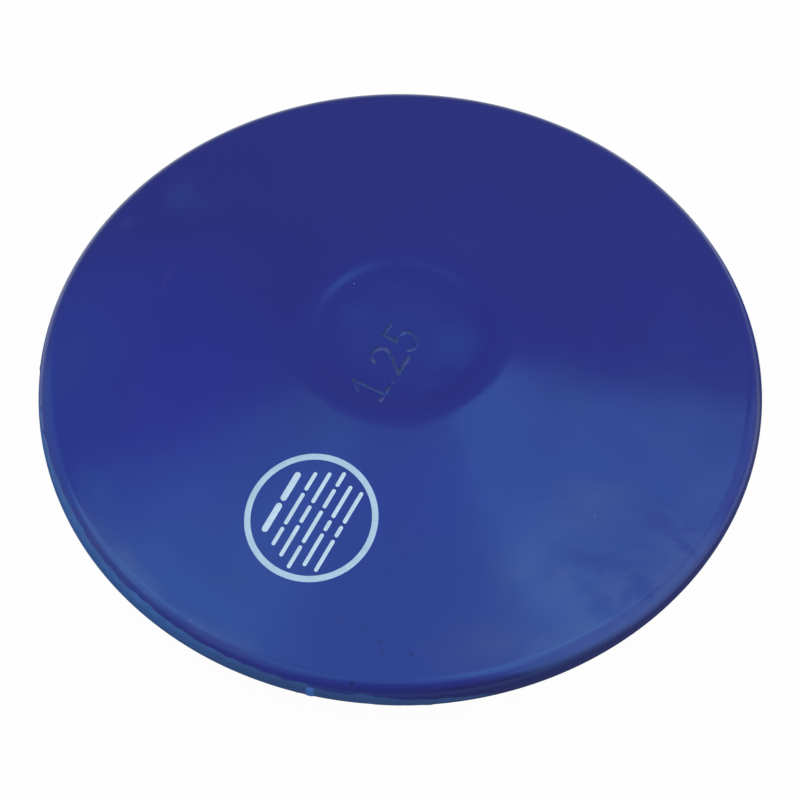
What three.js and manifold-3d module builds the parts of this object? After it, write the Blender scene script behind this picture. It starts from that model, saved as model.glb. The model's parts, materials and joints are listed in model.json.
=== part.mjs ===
// A rubber practice discus: two moulded halves bonded round a punched steel core, and a pale printed ring.
// Millimetres, +Z up. The disc lies on its lower hub at z = 0, and its axis is the Z axis.
import * as THREE from "three";
import { mergeVertices } from "three/addons/utils/BufferGeometryUtils.js";
import Module from "manifold-3d";

// The disc
const DISC_DIAMETER = 200;
const DISC_THICKNESS = 40;
const RIM_ROUND = 6; // radius of the half-round rim, widest at the parting line

// The hub: a narrow flat land round a shallow recess, alike on both faces
const HUB_DIAMETER = 52.8; // to the middle of the land
const LAND_WIDTH = 0.8;
const CREST_ROUND = 20; // where the land rolls over into the sloping face
const RECESS_DEPTH = 0.7;
const RECESS_WALL = 5.2; // radial run of the recess's soft wall
const FLOOR_CROWN = 0.2; // rise of the recess's floor in its middle

// The core: a steel plate at mid-height, with rubber keys through its holes
const CORE_DIAMETER = 114;
const CORE_THICKNESS = 6;
const KEY_HOLE_DIAMETER = 12;
const KEY_CIRCLE_DIAMETER = 76;
const KEY_COUNT = 6;
const CORE_CLEARANCE = 0.3; // round the core's edge and round each key

// The printed ring on the upper face
const RING_OUTER_DIAMETER = 34.9;
const RING_LINE_WIDTH = 1.65;
const RING_OFF_MIDDLE = 2; // the ring's centre lies this much nearer the hub than the face's middle
const RING_BEARING = THREE.MathUtils.degToRad(-113.1); // from +X, seen from above
const FILM_THICKNESS = 0.2; // thicker than real ink
const FILM_CLEARANCE = 0.3;

const CUT_OVERRUN = 2; // how far a cutting or joining solid runs past what it meets

// Steps of the facets
const DISC_SIDES = 96;
const RIM_STEPS = 7;
const CREST_STEPS = 3;
const WALL_STEPS = 4;
const FLOOR_STEPS = 2;
const KEY_SIDES = 24;
const RING_SIDES = 72;

const discRadius = DISC_DIAMETER / 2;
const halfThickness = DISC_THICKNESS / 2;
const rimCentre = discRadius - RIM_ROUND;
const landInner = (HUB_DIAMETER - LAND_WIDTH) / 2;
const landOuter = (HUB_DIAMETER + LAND_WIDTH) / 2;
const floorRadius = landInner - RECESS_WALL;
const coreRadius = CORE_DIAMETER / 2;
const coreHalf = CORE_THICKNESS / 2;
const keyRadius = KEY_HOLE_DIAMETER / 2 - CORE_CLEARANCE;
const ringOuter = RING_OUTER_DIAMETER / 2;
const ringFromAxis = (landOuter + rimCentre) / 2 - RING_OFF_MIDDLE;
const faceSlope = slopeOfFace();

const rubberBlue = new THREE.MeshStandardMaterial({ color: 0x2b3688, roughness: 0.28, metalness: 0 });
const paleInk = new THREE.MeshStandardMaterial({ color: 0xb4d2ee, roughness: 0.5, metalness: 0 });
const punchedSteel = new THREE.MeshStandardMaterial({ color: 0x8c8f94, roughness: 0.45, metalness: 0.9 });

const wasm = await Module();
wasm.setup();

// The sloping face is the straight line that touches both the crest's round and the rim's round.
function slopeOfFace() {
  const run = rimCentre - landOuter;
  const drop = halfThickness - CREST_ROUND;
  const apart = Math.hypot(run, drop);
  return Math.atan2(drop, run) + Math.asin((CREST_ROUND - RIM_ROUND) / apart);
}

// Points of an arc in the radius-height plane; angles are from the level outward direction.
function arcPoints(centre, radius, from, to, steps) {
  const points = [];
  for (let i = 0; i <= steps; i += 1) {
    const angle = from + ((to - from) * i) / steps;
    const level = centre.x + radius * Math.cos(angle);
    const height = centre.y + radius * Math.sin(angle);
    points.push(new THREE.Vector2(level, height));
  }
  return points;
}

// The moulded outside of one half, from the parting line up to the centre of the recess.
function outsidePoints() {
  const faceNormal = Math.PI / 2 - faceSlope;
  const rim = arcPoints(new THREE.Vector2(rimCentre, 0), RIM_ROUND, 0, faceNormal, RIM_STEPS);
  const crestCentre = new THREE.Vector2(landOuter, halfThickness - CREST_ROUND);
  const crest = arcPoints(crestCentre, CREST_ROUND, faceNormal, Math.PI / 2, CREST_STEPS);
  return [...rim, ...crest, ...recessPoints()];
}

// The recess: a wall that falls as half a cosine wave, then a floor that rises as a parabola.
function recessPoints() {
  const points = [];
  for (let i = 0; i <= WALL_STEPS; i += 1) {
    const share = i / WALL_STEPS;
    const fall = (RECESS_DEPTH * (1 - Math.cos(Math.PI * share))) / 2;
    points.push(new THREE.Vector2(landInner - RECESS_WALL * share, halfThickness - fall));
  }
  for (let i = 1; i <= FLOOR_STEPS; i += 1) {
    const share = 1 - i / FLOOR_STEPS;
    const rise = FLOOR_CROWN * (1 - share * share);
    points.push(new THREE.Vector2(floorRadius * share, halfThickness - RECESS_DEPTH + rise));
  }
  return points;
}

// A closed profile turned about the Z axis, as bare positions.
function turned(points, sides) {
  const geometry = new THREE.LatheGeometry(points, sides);
  geometry.rotateX(Math.PI / 2);
  return bare(geometry);
}

// Only positions are kept, and triangles that shrink to a line at the axis go.
function bare(geometry) {
  geometry.deleteAttribute("normal");
  geometry.deleteAttribute("uv");
  const merged = mergeVertices(geometry);
  const kept = [];
  const index = merged.index.array;
  for (let i = 0; i < index.length; i += 3) {
    const [a, b, c] = index.subarray(i, i + 3);
    if (a !== b && b !== c && c !== a) kept.push(a, b, c);
  }
  merged.setIndex(kept);
  return merged;
}

function solidOf(geometry) {
  const vertProperties = new Float32Array(geometry.attributes.position.array);
  const triVerts = new Uint32Array(geometry.index.array);
  return new wasm.Manifold(new wasm.Mesh({ numProp: 3, vertProperties, triVerts }));
}

function geometryOf(solid) {
  const made = solid.getMesh();
  const geometry = new THREE.BufferGeometry();
  geometry.setAttribute("position", new THREE.BufferAttribute(made.vertProperties, 3));
  geometry.setIndex(new THREE.BufferAttribute(made.triVerts, 1));
  geometry.computeVertexNormals();
  return geometry;
}

// A round bar or a tube standing between two heights.
function barOrTube(innerRadius, outerRadius, low, high, sides) {
  const points = [
    new THREE.Vector2(innerRadius, low),
    new THREE.Vector2(outerRadius, low),
    new THREE.Vector2(outerRadius, high),
    new THREE.Vector2(innerRadius, high),
  ];
  if (innerRadius > 0) points.push(points[0].clone());
  return turned(points, sides);
}

// The places of the keys, evenly spaced on their circle.
function keyPlaces() {
  const places = [];
  for (let i = 0; i < KEY_COUNT; i += 1) {
    const angle = (2 * Math.PI * i) / KEY_COUNT;
    const level = KEY_CIRCLE_DIAMETER / 2;
    places.push(new THREE.Vector3(level * Math.cos(angle), level * Math.sin(angle), 0));
  }
  return places;
}

// One moulded half: its outside, half of the pocket for the core, and half of each key.
// side is 1 for the upper half and -1 for the lower one, its mirror image in the parting plane.
function rubberHalf(side) {
  const pocketRadius = coreRadius + CORE_CLEARANCE;
  const pocket = [
    new THREE.Vector2(0, coreHalf),
    new THREE.Vector2(pocketRadius, coreHalf),
    new THREE.Vector2(pocketRadius, 0),
  ];
  const points = [...pocket, ...outsidePoints()];
  points.forEach((point) => point.setY(point.y * side));
  if (side < 0) points.reverse();
  let half = solidOf(turned(points, DISC_SIDES));
  const reach = side * (coreHalf + CUT_OVERRUN);
  for (const place of keyPlaces()) {
    const key = barOrTube(0, keyRadius, Math.min(0, reach), Math.max(0, reach), KEY_SIDES);
    key.translate(place.x, place.y, place.z);
    half = half.add(solidOf(key));
  }
  return geometryOf(half);
}

// The core plate, with a punched hole for each key.
function steelCore() {
  let plate = solidOf(barOrTube(0, coreRadius, -coreHalf, coreHalf, DISC_SIDES));
  const reach = coreHalf + CUT_OVERRUN;
  for (const place of keyPlaces()) {
    const hole = barOrTube(0, KEY_HOLE_DIAMETER / 2, -reach, reach, KEY_SIDES);
    hole.translate(place.x, place.y, place.z);
    plate = plate.subtract(solidOf(hole));
  }
  return geometryOf(plate);
}

// The whole upper face's film: a thin skin over the straight slope, between the crest and the rim.
function filmSkin() {
  const normal = new THREE.Vector2(Math.sin(faceSlope), Math.cos(faceSlope));
  const crest = new THREE.Vector2(landOuter, halfThickness - CREST_ROUND).addScaledVector(normal, CREST_ROUND);
  const rim = new THREE.Vector2(rimCentre, 0).addScaledVector(normal, RIM_ROUND);
  const lifted = (point, lift) => point.clone().addScaledVector(normal, lift);
  const top = FILM_CLEARANCE + FILM_THICKNESS;
  const points = [
    lifted(crest, FILM_CLEARANCE),
    lifted(rim, FILM_CLEARANCE),
    lifted(rim, top),
    lifted(crest, top),
    lifted(crest, FILM_CLEARANCE),
  ];
  return solidOf(turned(points, DISC_SIDES));
}

// The printed ring: the film's part inside a tube that stands square to the slope at the ring's centre.
function printedRing() {
  const down = (ringFromAxis - landOuter) * Math.tan(faceSlope);
  const reach = ringOuter * Math.tan(faceSlope) + CUT_OVERRUN;
  const tube = barOrTube(ringOuter - RING_LINE_WIDTH, ringOuter, -reach, reach, RING_SIDES);
  tube.rotateY(faceSlope);
  tube.translate(ringFromAxis, 0, halfThickness - down);
  tube.rotateZ(RING_BEARING);
  return geometryOf(filmSkin().intersect(solidOf(tube)));
}

function piece(name, geometry, material) {
  const mesh = new THREE.Mesh(geometry, material);
  mesh.name = name;
  return mesh;
}

// The pieces are made about the parting plane, which lies half the thickness above the floor.
const aboutPartingPlane = new THREE.Group();
aboutPartingPlane.position.z = halfThickness;
aboutPartingPlane.add(
  piece("lower_rubber_half", rubberHalf(-1), rubberBlue),
  piece("steel_core", steelCore(), punchedSteel),
  piece("upper_rubber_half", rubberHalf(1), rubberBlue),
  piece("printed_ring", printedRing(), paleInk),
);

const discus = new THREE.Group();
discus.add(aboutPartingPlane);

export default discus;
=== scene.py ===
"""A rubber practice discus: two moulded halves with a trimmed seam round the rim, weight numerals in the hub,
a printed ring on the face and a punched steel core. Metres, +Z up, the disc's axis is the Z axis."""

import json
import math
from collections import namedtuple

import bpy
import numpy as np
from bpy.props import FloatProperty, FloatVectorProperty, IntProperty, PointerProperty
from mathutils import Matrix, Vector


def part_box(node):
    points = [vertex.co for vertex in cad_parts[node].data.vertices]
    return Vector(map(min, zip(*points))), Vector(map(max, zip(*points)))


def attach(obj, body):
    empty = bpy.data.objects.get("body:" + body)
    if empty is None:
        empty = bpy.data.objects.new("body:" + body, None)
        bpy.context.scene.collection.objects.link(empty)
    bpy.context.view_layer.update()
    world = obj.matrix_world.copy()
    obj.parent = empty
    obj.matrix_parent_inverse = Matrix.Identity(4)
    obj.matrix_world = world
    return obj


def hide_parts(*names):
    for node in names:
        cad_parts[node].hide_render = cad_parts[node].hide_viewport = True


bl_info = {
    "name": "Rubber discus",
    "version": (1, 0, 0),
    "blender": (4, 5, 0),
    "location": "View3D > Sidebar > Discus",
    "description": "Makes a moulded rubber discus round its packed frame, with its finishes and a studio",
    "category": "Add Mesh",
}

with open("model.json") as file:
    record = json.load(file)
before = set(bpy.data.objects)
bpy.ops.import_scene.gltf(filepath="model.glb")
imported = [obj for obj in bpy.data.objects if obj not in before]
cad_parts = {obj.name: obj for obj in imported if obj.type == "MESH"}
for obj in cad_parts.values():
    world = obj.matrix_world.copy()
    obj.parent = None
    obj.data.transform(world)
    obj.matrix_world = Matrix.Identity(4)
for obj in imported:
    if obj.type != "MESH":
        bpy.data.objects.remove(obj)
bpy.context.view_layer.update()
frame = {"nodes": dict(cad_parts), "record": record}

MM = 0.001
BODY = "root"

# What the frame says
UPPER_NODE = "upper_rubber_half"
LOWER_NODE = "lower_rubber_half"
CORE_NODE = "steel_core"
RING_NODE = "printed_ring"
DISC_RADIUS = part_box(UPPER_NODE)[1].x
DISC_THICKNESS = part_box(UPPER_NODE)[1].z
PARTING_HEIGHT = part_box(LOWER_NODE)[1].z
CORE_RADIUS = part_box(CORE_NODE)[1].x
CORE_HALF_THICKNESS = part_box(CORE_NODE)[1].z - PARTING_HEIGHT
RING_MIDDLE = (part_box(RING_NODE)[0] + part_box(RING_NODE)[1]) / 2
HUB_RADIUS = next(m for m in frame["record"]["mounts"] if m["name"] == "stacking_land")["pos_m"][0]


# Kinds of property

def a_length(name, description, default):
    """A length. Its default is given in millimetres and kept in metres."""
    return FloatProperty(name=name, description=description, default=default * MM, unit="LENGTH", precision=6)


def an_angle(name, description, default):
    """An angle. Its default is given in degrees and kept in radians."""
    return FloatProperty(name=name, description=description, default=math.radians(default), subtype="ANGLE")


def a_share(name, description, default):
    """A share from 0 to 1."""
    return FloatProperty(name=name, description=description, default=default, min=0, max=1, subtype="FACTOR")


def a_colour(name, description, *default):
    """A colour, as linear red, green and blue."""
    return FloatVectorProperty(name=name, description=description, default=default, subtype="COLOR")


class DiscShape(bpy.types.PropertyGroup):
    """Sizes of the moulded halves."""

    rim_round: a_length("Rim round", "Radius of the half-round rim", 6)
    crest_round: a_length("Crest round", "Radius where the hub's land rolls over into the face", 20)
    land_width: a_length("Land width", "Width of the flat ring round the hub", 0.8)
    recess_depth: a_length("Recess depth", "How deep the hub's floor lies", 0.7)
    recess_wall: a_length("Recess wall", "Radial run of the hub's soft wall", 5.2)
    floor_crown: a_length("Floor crown", "Rise of the hub's floor in its middle", 0.2)
    unevenness: a_length("Unevenness", "Depth of the slow waves that moulding leaves", 0.12)
    pocket_clearance: a_length("Pocket clearance", "Gap round the steel core", 0.3)
    key_radius: a_length("Key radius", "Radius of a rubber key in the core", 5.7)
    key_circle: a_length("Key circle", "Radius of the circle of keys", 38)
    key_count: IntProperty(name="Keys", description="Rubber keys through the core", default=6, min=1)


class SeamTrim(bpy.types.PropertyGroup):
    """Sizes of the band where flash was trimmed off the rim."""

    undersize: a_length("Undersize", "How far the rim stays inside its full radius", 0.03)
    ledge: a_length("Ledge", "Depth that trimming took off the rim", 0.16)
    lip: a_length("Lip", "Height of the ragged lip left along the trimmed band", 0.22)
    raggedness: an_angle("Raggedness", "How far the band's edge wanders", 5)
    groove: a_length("Groove", "Depth of the parting line", 0.07)


class Marking(bpy.types.PropertyGroup):
    """Sizes of the moulded weight numerals."""

    height: a_length("Height", "Height of a numeral", 9.4)
    stroke: a_length("Stroke", "Width of a stroke at its foot", 1.5)
    relief: a_length("Relief", "Height of a stroke above the hub's floor", 0.32)
    turn: an_angle("Turn", "Bearing of the line of numerals, from +X", 61)


class Print(bpy.types.PropertyGroup):
    """Sizes of the printed ring and its rows of bars."""

    outer_diameter: a_length("Outer diameter", "Outer diameter of the ring", 34.9)
    line_width: a_length("Line width", "Width of the ring's line", 1.65)
    ink: a_length("Ink", "Thickness of the ink on the rubber", 0.04)
    row_pitch: a_length("Row pitch", "From one row of bars to the next", 3.33)
    row_turn: an_angle("Row turn", "Bearing of the rows, from +X", 60)
    bar_width: a_length("Bar width", "Width of a plain bar", 1.08)
    heavy_bar_width: a_length("Heavy bar width", "Width of the first row's bars", 1.75)
    bar_gap: a_length("Bar gap", "Gap between two bars in a row", 0.85)


class Finishes(bpy.types.PropertyGroup):
    """Colours and gloss of the materials."""

    rubber: a_colour("Rubber", "Colour of the moulded rubber", 0.0262, 0.0290, 0.250)
    # Also the colour of the painted light that makes the face paler on the left, the near side and the middle
    rubber_pale_and_lit: a_colour("Rubber, light", "Colour of the paler clouds in the rubber", 0.0275, 0.0312, 0.310)
    # Partly painted highlight: this paler colour is laid where highlights fall on the near right and on the
    # rim's left shoulder
    haze_and_sheen: a_colour("Haze", "Colour of the rubber where its bloom is dull", 0.046, 0.050, 0.240)
    smear: a_colour("Smear", "Colour of the rubber where the bloom is rubbed off", 0.0265, 0.0185, 0.222)
    # Partly painted reflection: the same greenish colour paints the teal reflection on the hub floor and the
    # left side
    stain_and_sheen: a_colour("Stain", "Colour of the greenish stains", 0.028, 0.055, 0.300)
    dark_speck: a_colour("Dark speck", "Colour of the dark specks", 0.012, 0.016, 0.07)
    light_speck: a_colour("Light speck", "Colour of the light specks", 0.55, 0.6, 0.8)
    # Painted shade: the darker colour that the rim takes beside the seam, strongest on the near right
    painted_rim_shade: a_colour("Grime", "Colour of the grimy part of the rim", 0.020, 0.016, 0.112)
    trimmed: a_colour("Trimmed rubber", "Colour of the buffed band on the rim", 0.054, 0.148, 0.470)
    scuffed: a_colour("Scuffed rubber", "Colour of the worn tops of the numerals", 0.037, 0.049, 0.165)
    dust: a_colour("Dust", "Colour of the dusty patches on the numerals", 0.075, 0.09, 0.26)
    gloss_tint: a_colour("Gloss tint", "Tint of the rubber's reflections", 0.13, 0.5, 1.0)
    gloss: a_share("Gloss", "Specular level of the rubber", 0.88)
    gloss_ior: FloatProperty(
        name="Gloss IOR", description="Refractive index of the rubber's skin", default=1.5, min=1
    )
    roughness: a_share("Roughness", "Roughness of the moulded face", 0.2)
    ink: a_colour("Ink", "Colour of the printed ring", 0.47, 0.68, 0.88)
    ink_bars: a_colour("Bar ink", "Colour of the printed bars", 0.60, 0.80, 0.98)
    ink_gloss: a_share("Ink gloss", "Specular level of the ink", 0.3)
    steel: a_colour("Steel", "Colour of the punched steel", 0.42, 0.43, 0.45)


class Studio(bpy.types.PropertyGroup):
    """The camera, the floor and the room."""

    camera_distance: a_length("Camera distance", "From the camera to the middle of the disc", 576.9)
    camera_elevation: an_angle("Camera elevation", "Height of the camera over the disc's horizon", 56.247)
    camera_aim: a_length("Camera aim", "How far before the axis the camera is aimed", 9.04)
    lens: FloatProperty(name="Lens", description="Focal length in millimetres", default=93.55, min=1)
    sensor: FloatProperty(name="Sensor", description="Width of the picture in millimetres", default=36, min=1)
    floor_size: a_length("Floor size", "Side of the floor", 8000)
    floor_white: a_share("Floor white", "Reflectance of the floor as the camera sees it", 0.95)
    floor_bounce: a_share("Floor bounce", "Reflectance of the floor for the light that it throws back", 0.3)
    floor_lift: a_share("Floor lift", "Share of the floor that shows as plain white", 0.97)
    surroundings: FloatProperty(
        name="Surroundings", description="Brightness of the room round the disc", default=0.22, min=0
    )


GROUPS = {
    "discus_shape": DiscShape,
    "discus_seam": SeamTrim,
    "discus_marking": Marking,
    "discus_print": Print,
    "discus_finishes": Finishes,
    "discus_studio": Studio,
}

# Steps of the grids
FACE_COLUMNS = 480
FINE_PER_COARSE = 3
RIM_ROWS = 42
RIM_CROWDING = 1.15  # above 1, the rim's rows lie closer together at the parting line
POCKET_ROWS = 3
PARTING_ROWS = 3
FACE_ROWS = 22
CREST_ROWS = 10
WALL_ROWS = 16
FLOOR_ROWS = 12
KEY_COLUMNS = 24
BEAD_SIDES = 12
CAP_STEPS = 7
RING_STEPS = 360
BEAD_STEP = 0.12 * MM
BAR_STEP = 0.3 * MM
FLOOR_CELLS = 8
SHARP_ANGLE = math.radians(40)

# Where the trimmed band ends on the rim: bearing round the disc, then how far it reaches up and down from the
# parting line on the rim's round. Below zero there is no band.
TRIM_REACH_DEGREES = [
    (0, 0, 2), (60, 4, 6), (120, 4, 6), (160, 5, 10), (180, 18, 28), (190, 38, 40), (203, 44, 40),
    (218, 44, 40), (236, 39, 40), (255, 32, 40), (264, 26, 38), (272, 18, 26), (280, 6, 10),
    (287, -8, -6), (312, -14, -12), (340, -8, -8),
]
TRIM_EDGE_BLEND = math.radians(2.2)
SEAM_SEED = 7

# How the band's edge wanders: each ragged line's share, its points round the disc, and whether it is smooth
WANDER = [(0.5, 90, True), (0.5, 150, False), (0.45, 420, True)]
STEP_START = 0.7  # of a stepped line, the share of the way to the next point at which the step starts
STEP_RUN = 0.3

# The tufts of the lip, how soon it rises beside the parting line, and how far lip, groove and rim run out
TUFT_POINTS = 260
TUFT_GAP = 0.1
LIP_RISE = 3
LIP_REACH = math.radians(2.4)
GROOVE_REACH = math.radians(1.2)
RIM_END_BLEND = math.radians(12)

# A nib of flash left on the trimmed band: its bearing, its half width along the rim, how steep its flanks
# are, how far it reaches up and down from the parting line, how softly it ends, and how far it stands off
NIB_BEARING = math.radians(256.8)
NIB_HALF_WIDTH = math.radians(0.9)
NIB_STEEPNESS = 1.6
NIB_UP = math.radians(24)
NIB_DOWN = math.radians(11)
NIB_BLEND = math.radians(5)
NIB_RELIEF = 0.4 * MM

# Length, bearing and phase of each slow wave, and the run over which they rise beside the land and the rim
WAVES = [(61 * MM, 0.4, 0.3), (47 * MM, 1.9, 2.1), (34 * MM, 2.8, 4.0), (27 * MM, 1.2, 5.2)]
WAVE_RISE = 9 * MM

# How the numerals' strokes swell and shrink: the seed, the least share of their width and the steps to a knot
NUMERAL_SEED = 3
LEAST_SWELL = 0.55
KNOT_STEPS = 9

# How deep the foot of a numeral and of the ink lies in the rubber, and how far the floor lies under the disc
SUNK_FOOT = 0.3 * MM
SUNK_INK = 0.05 * MM
FLOOR_GAP = 0.05 * MM
TRIM_ATTRIBUTE = "trimmed"


# Meshes

def put_mesh(name, vertices, faces, material, sharp_angle=None):
    """A new object at the origin from an array of points and arrays of faces, smooth, with one material."""
    mesh = bpy.data.meshes.new(name)
    mesh.from_pydata(vertices.tolist(), [], [face for block in faces for face in block.tolist()])
    mesh.shade_smooth()
    if sharp_angle is not None:
        mesh.set_sharp_from_angle(angle=sharp_angle)
    mesh.materials.append(material)
    mesh.update()
    piece = bpy.data.objects.new(name, mesh)
    bpy.context.scene.collection.objects.link(piece)
    return piece


def seat(piece, slot, *nodes):
    """Hangs a piece on the body and hides the nodes that it stands for; the slot is not used."""
    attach(piece, BODY)
    if nodes:
        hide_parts(*nodes)


def even_bearings(count):
    """Bearings evenly spaced round a circle."""
    return np.arange(count) * 2 * np.pi / count


def ring_points(radius, height, bearings):
    """Rings round the axis: one row per radius and height, one column per bearing."""
    x = radius * np.cos(bearings)
    y = radius * np.sin(bearings)
    return np.stack([x, y, np.broadcast_to(height, x.shape)], axis=-1)


def grid_quads(first, rows, columns):
    """Quads between the rows of a grid whose columns close on themselves."""
    row, column = np.meshgrid(np.arange(rows - 1), np.arange(columns), indexing="ij")
    here = first + row * columns
    ahead = (column + 1) % columns
    quads = np.stack([here + column, here + ahead, here + columns + ahead, here + columns + column], axis=-1)
    return quads.reshape(-1, 4)


def wrapped_row(rows, columns):
    """Quads from the last row of a closed path back to its first."""
    column = np.arange(columns)
    ahead = (column + 1) % columns
    last = (rows - 1) * columns
    return np.stack([last + column, last + ahead, ahead, column], axis=-1)


def fan(pole, first, columns):
    """Triangles from a pole to a ring."""
    column = np.arange(columns)
    return np.stack([np.full(columns, pole), first + (column + 1) % columns, first + column], axis=-1)


def stitch(coarse, fine, columns, ratio):
    """Triangles between a coarse ring and a ring with ratio times as many points."""
    fine_columns = columns * ratio
    step = np.arange(fine_columns)
    owner = (step + ratio // 2) // ratio % columns
    fine_faces = np.stack([coarse + owner, fine + (step + 1) % fine_columns, fine + step], axis=-1)
    column = np.arange(columns)
    middle = (column * ratio + ratio - ratio // 2) % fine_columns
    coarse_faces = np.stack([coarse + column, coarse + (column + 1) % columns, fine + middle], axis=-1)
    return fine_faces, coarse_faces


def smooth_step(value):
    """Zero below 0, one above 1, and a cubic between."""
    share = np.clip(value, 0, 1)
    return share**2 * (3 - 2 * share)


# The disc's outside

def face_slope(shape):
    """The slope of the straight line that touches the crest's round and the rim's round."""
    run = DISC_RADIUS - shape.rim_round - HUB_RADIUS - shape.land_width / 2
    drop = PARTING_HEIGHT - shape.crest_round
    apart = math.hypot(run, drop)
    return math.atan2(drop, run) + math.asin((shape.crest_round - shape.rim_round) / apart)


def face_profile(shape):
    """Radii and heights above the parting plane from the rim's upper end to the axis: the face falls in a
    straight line, the crest is an arc, the land is level, the wall falls as half a cosine wave, the floor is
    a parabola."""
    slope = face_slope(shape)
    land_inner = HUB_RADIUS - shape.land_width / 2
    land_outer = HUB_RADIUS + shape.land_width / 2
    lean = np.linspace(slope, 0, CREST_ROWS)
    crest_height = PARTING_HEIGHT - shape.crest_round + shape.crest_round * np.cos(lean)
    crest = np.stack([land_outer + shape.crest_round * np.sin(lean), crest_height])
    rim_radius = DISC_RADIUS - shape.rim_round + shape.rim_round * math.sin(slope)
    rim_end = np.array([[rim_radius], [shape.rim_round * math.cos(slope)]])
    face = rim_end + (crest[:, :1] - rim_end) * np.linspace(0, 1, FACE_ROWS + 1)[1:-1]
    share = np.linspace(0, 1, WALL_ROWS)
    wall_fall = shape.recess_depth * (1 - np.cos(np.pi * share)) / 2
    wall = np.stack([land_inner - shape.recess_wall * share, PARTING_HEIGHT - wall_fall])
    share = np.linspace(1, 0, FLOOR_ROWS + 1)[1:]
    floor_rise = shape.floor_crown * (1 - share**2)
    floor_radius = (land_inner - shape.recess_wall) * share
    floor = np.stack([floor_radius, PARTING_HEIGHT - shape.recess_depth + floor_rise])
    return np.concatenate([face, crest, wall, floor], axis=1)


def waves(x, y, shape):
    """Slow waves that moulding leaves: a sum of sines in several directions, never above zero, and none at
    the land."""
    total = np.zeros_like(x)
    for length, bearing, phase in WAVES:
        along = x * math.cos(bearing) + y * math.sin(bearing)
        total += np.sin(2 * np.pi * along / length + phase)
    fade = smooth_step(np.abs(np.hypot(x, y) - HUB_RADIUS) / WAVE_RISE)
    return -shape.unevenness * fade * (len(WAVES) + total) / (2 * len(WAVES))


def upper_surface(shape):
    """A function that gives the height of the upper outside over the floor at a place."""
    radius, height = face_profile(shape)

    def surface(x, y):
        level = np.interp(np.hypot(x, y), radius[::-1], height[::-1])
        return PARTING_HEIGHT + level + waves(x, y, shape)

    return surface


def ragged(bearings, points, rng, smooth=True):
    """A periodic line through random heights from -1 to 1, evenly spaced round the disc: a cubic from one to
    the next, or level with a slanted step before the next."""
    heights = rng.uniform(-1, 1, points)
    place = bearings / (2 * np.pi) * points
    before = np.floor(place).astype(int)
    share = place - before
    share = smooth_step(share) if smooth else np.clip((share - STEP_START) / STEP_RUN, 0, 1)
    return heights[before % points] * (1 - share) + heights[(before + 1) % points] * share


def trim_edge(bearings, seam, side):
    """The height angle of the trimmed band's ragged edge for each bearing, on the upper or lower half."""
    table = np.radians(TRIM_REACH_DEGREES)
    column = 1 if side > 0 else 2
    edge = np.interp(bearings, table[:, 0], table[:, column], period=2 * np.pi)
    rng = np.random.default_rng(SEAM_SEED + column)
    wander = sum(share * ragged(bearings, points, rng, smooth) for share, points, smooth in WANDER)
    return edge + seam.raggedness * wander * smooth_step(edge / TRIM_EDGE_BLEND)


def rim_rows(bearings, shape, seam, side):
    """The rim of one half as rings of points, and how far each point is trimmed, from 0 to 1, or 2 on the
    nib. Each ring is a height angle on the rim's round. Trimming sinks the surface below the ragged edge, a
    lip stands along it, the nib stands on it as a smooth mound, and the parting line is a fine groove."""
    top = math.pi / 2 - face_slope(shape)
    angle = top * ((np.arange(RIM_ROWS + 1) / RIM_ROWS) ** RIM_CROWDING)[:, None]
    edge = trim_edge(bearings, seam, side)
    below = smooth_step((edge - angle) / TRIM_EDGE_BLEND + 0.5)
    rng = np.random.default_rng(SEAM_SEED)
    tufts = np.clip(ragged(bearings, TUFT_POINTS, rng) - TUFT_GAP, 0, 1)
    rise = np.clip(np.sin(angle) * LIP_RISE, 0, 1) ** 2
    lip = seam.lip * tufts * rise * np.exp(-(((angle - edge) / LIP_REACH) ** 2))
    groove = seam.groove * np.exp(-((angle / GROOVE_REACH) ** 2))
    across = smooth_step(NIB_STEEPNESS - NIB_STEEPNESS * np.abs(bearings - NIB_BEARING) / NIB_HALF_WIDTH)
    nib = across * smooth_step(((NIB_UP if side > 0 else NIB_DOWN) - angle) / NIB_BLEND + 0.5)
    push = lip - seam.ledge * below - groove - seam.undersize + NIB_RELIEF * nib
    reach = shape.rim_round + push * np.clip((top - angle) / RIM_END_BLEND, 0, 1)
    radius = DISC_RADIUS - shape.rim_round + reach * np.cos(angle)
    return ring_points(radius, reach * np.sin(angle), bearings), np.maximum(below, 2 * nib)


def pocket_rings(shape, bearings):
    """Rings of points from the middle of the core's pocket: out along its flat ceiling, then along the
    parting plane to below the rim's round."""
    pocket_radius = CORE_RADIUS + shape.pocket_clearance
    ceiling = pocket_radius * np.arange(1, POCKET_ROWS + 1) / POCKET_ROWS
    run = DISC_RADIUS - shape.rim_round - pocket_radius
    parting = pocket_radius + run * np.arange(PARTING_ROWS) / (PARTING_ROWS - 1)
    radius = np.concatenate([ceiling, parting])
    height = np.concatenate([np.full(POCKET_ROWS, CORE_HALF_THICKNESS), np.zeros(PARTING_ROWS)])
    return ring_points(radius[:, None], height[:, None], bearings)


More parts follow.
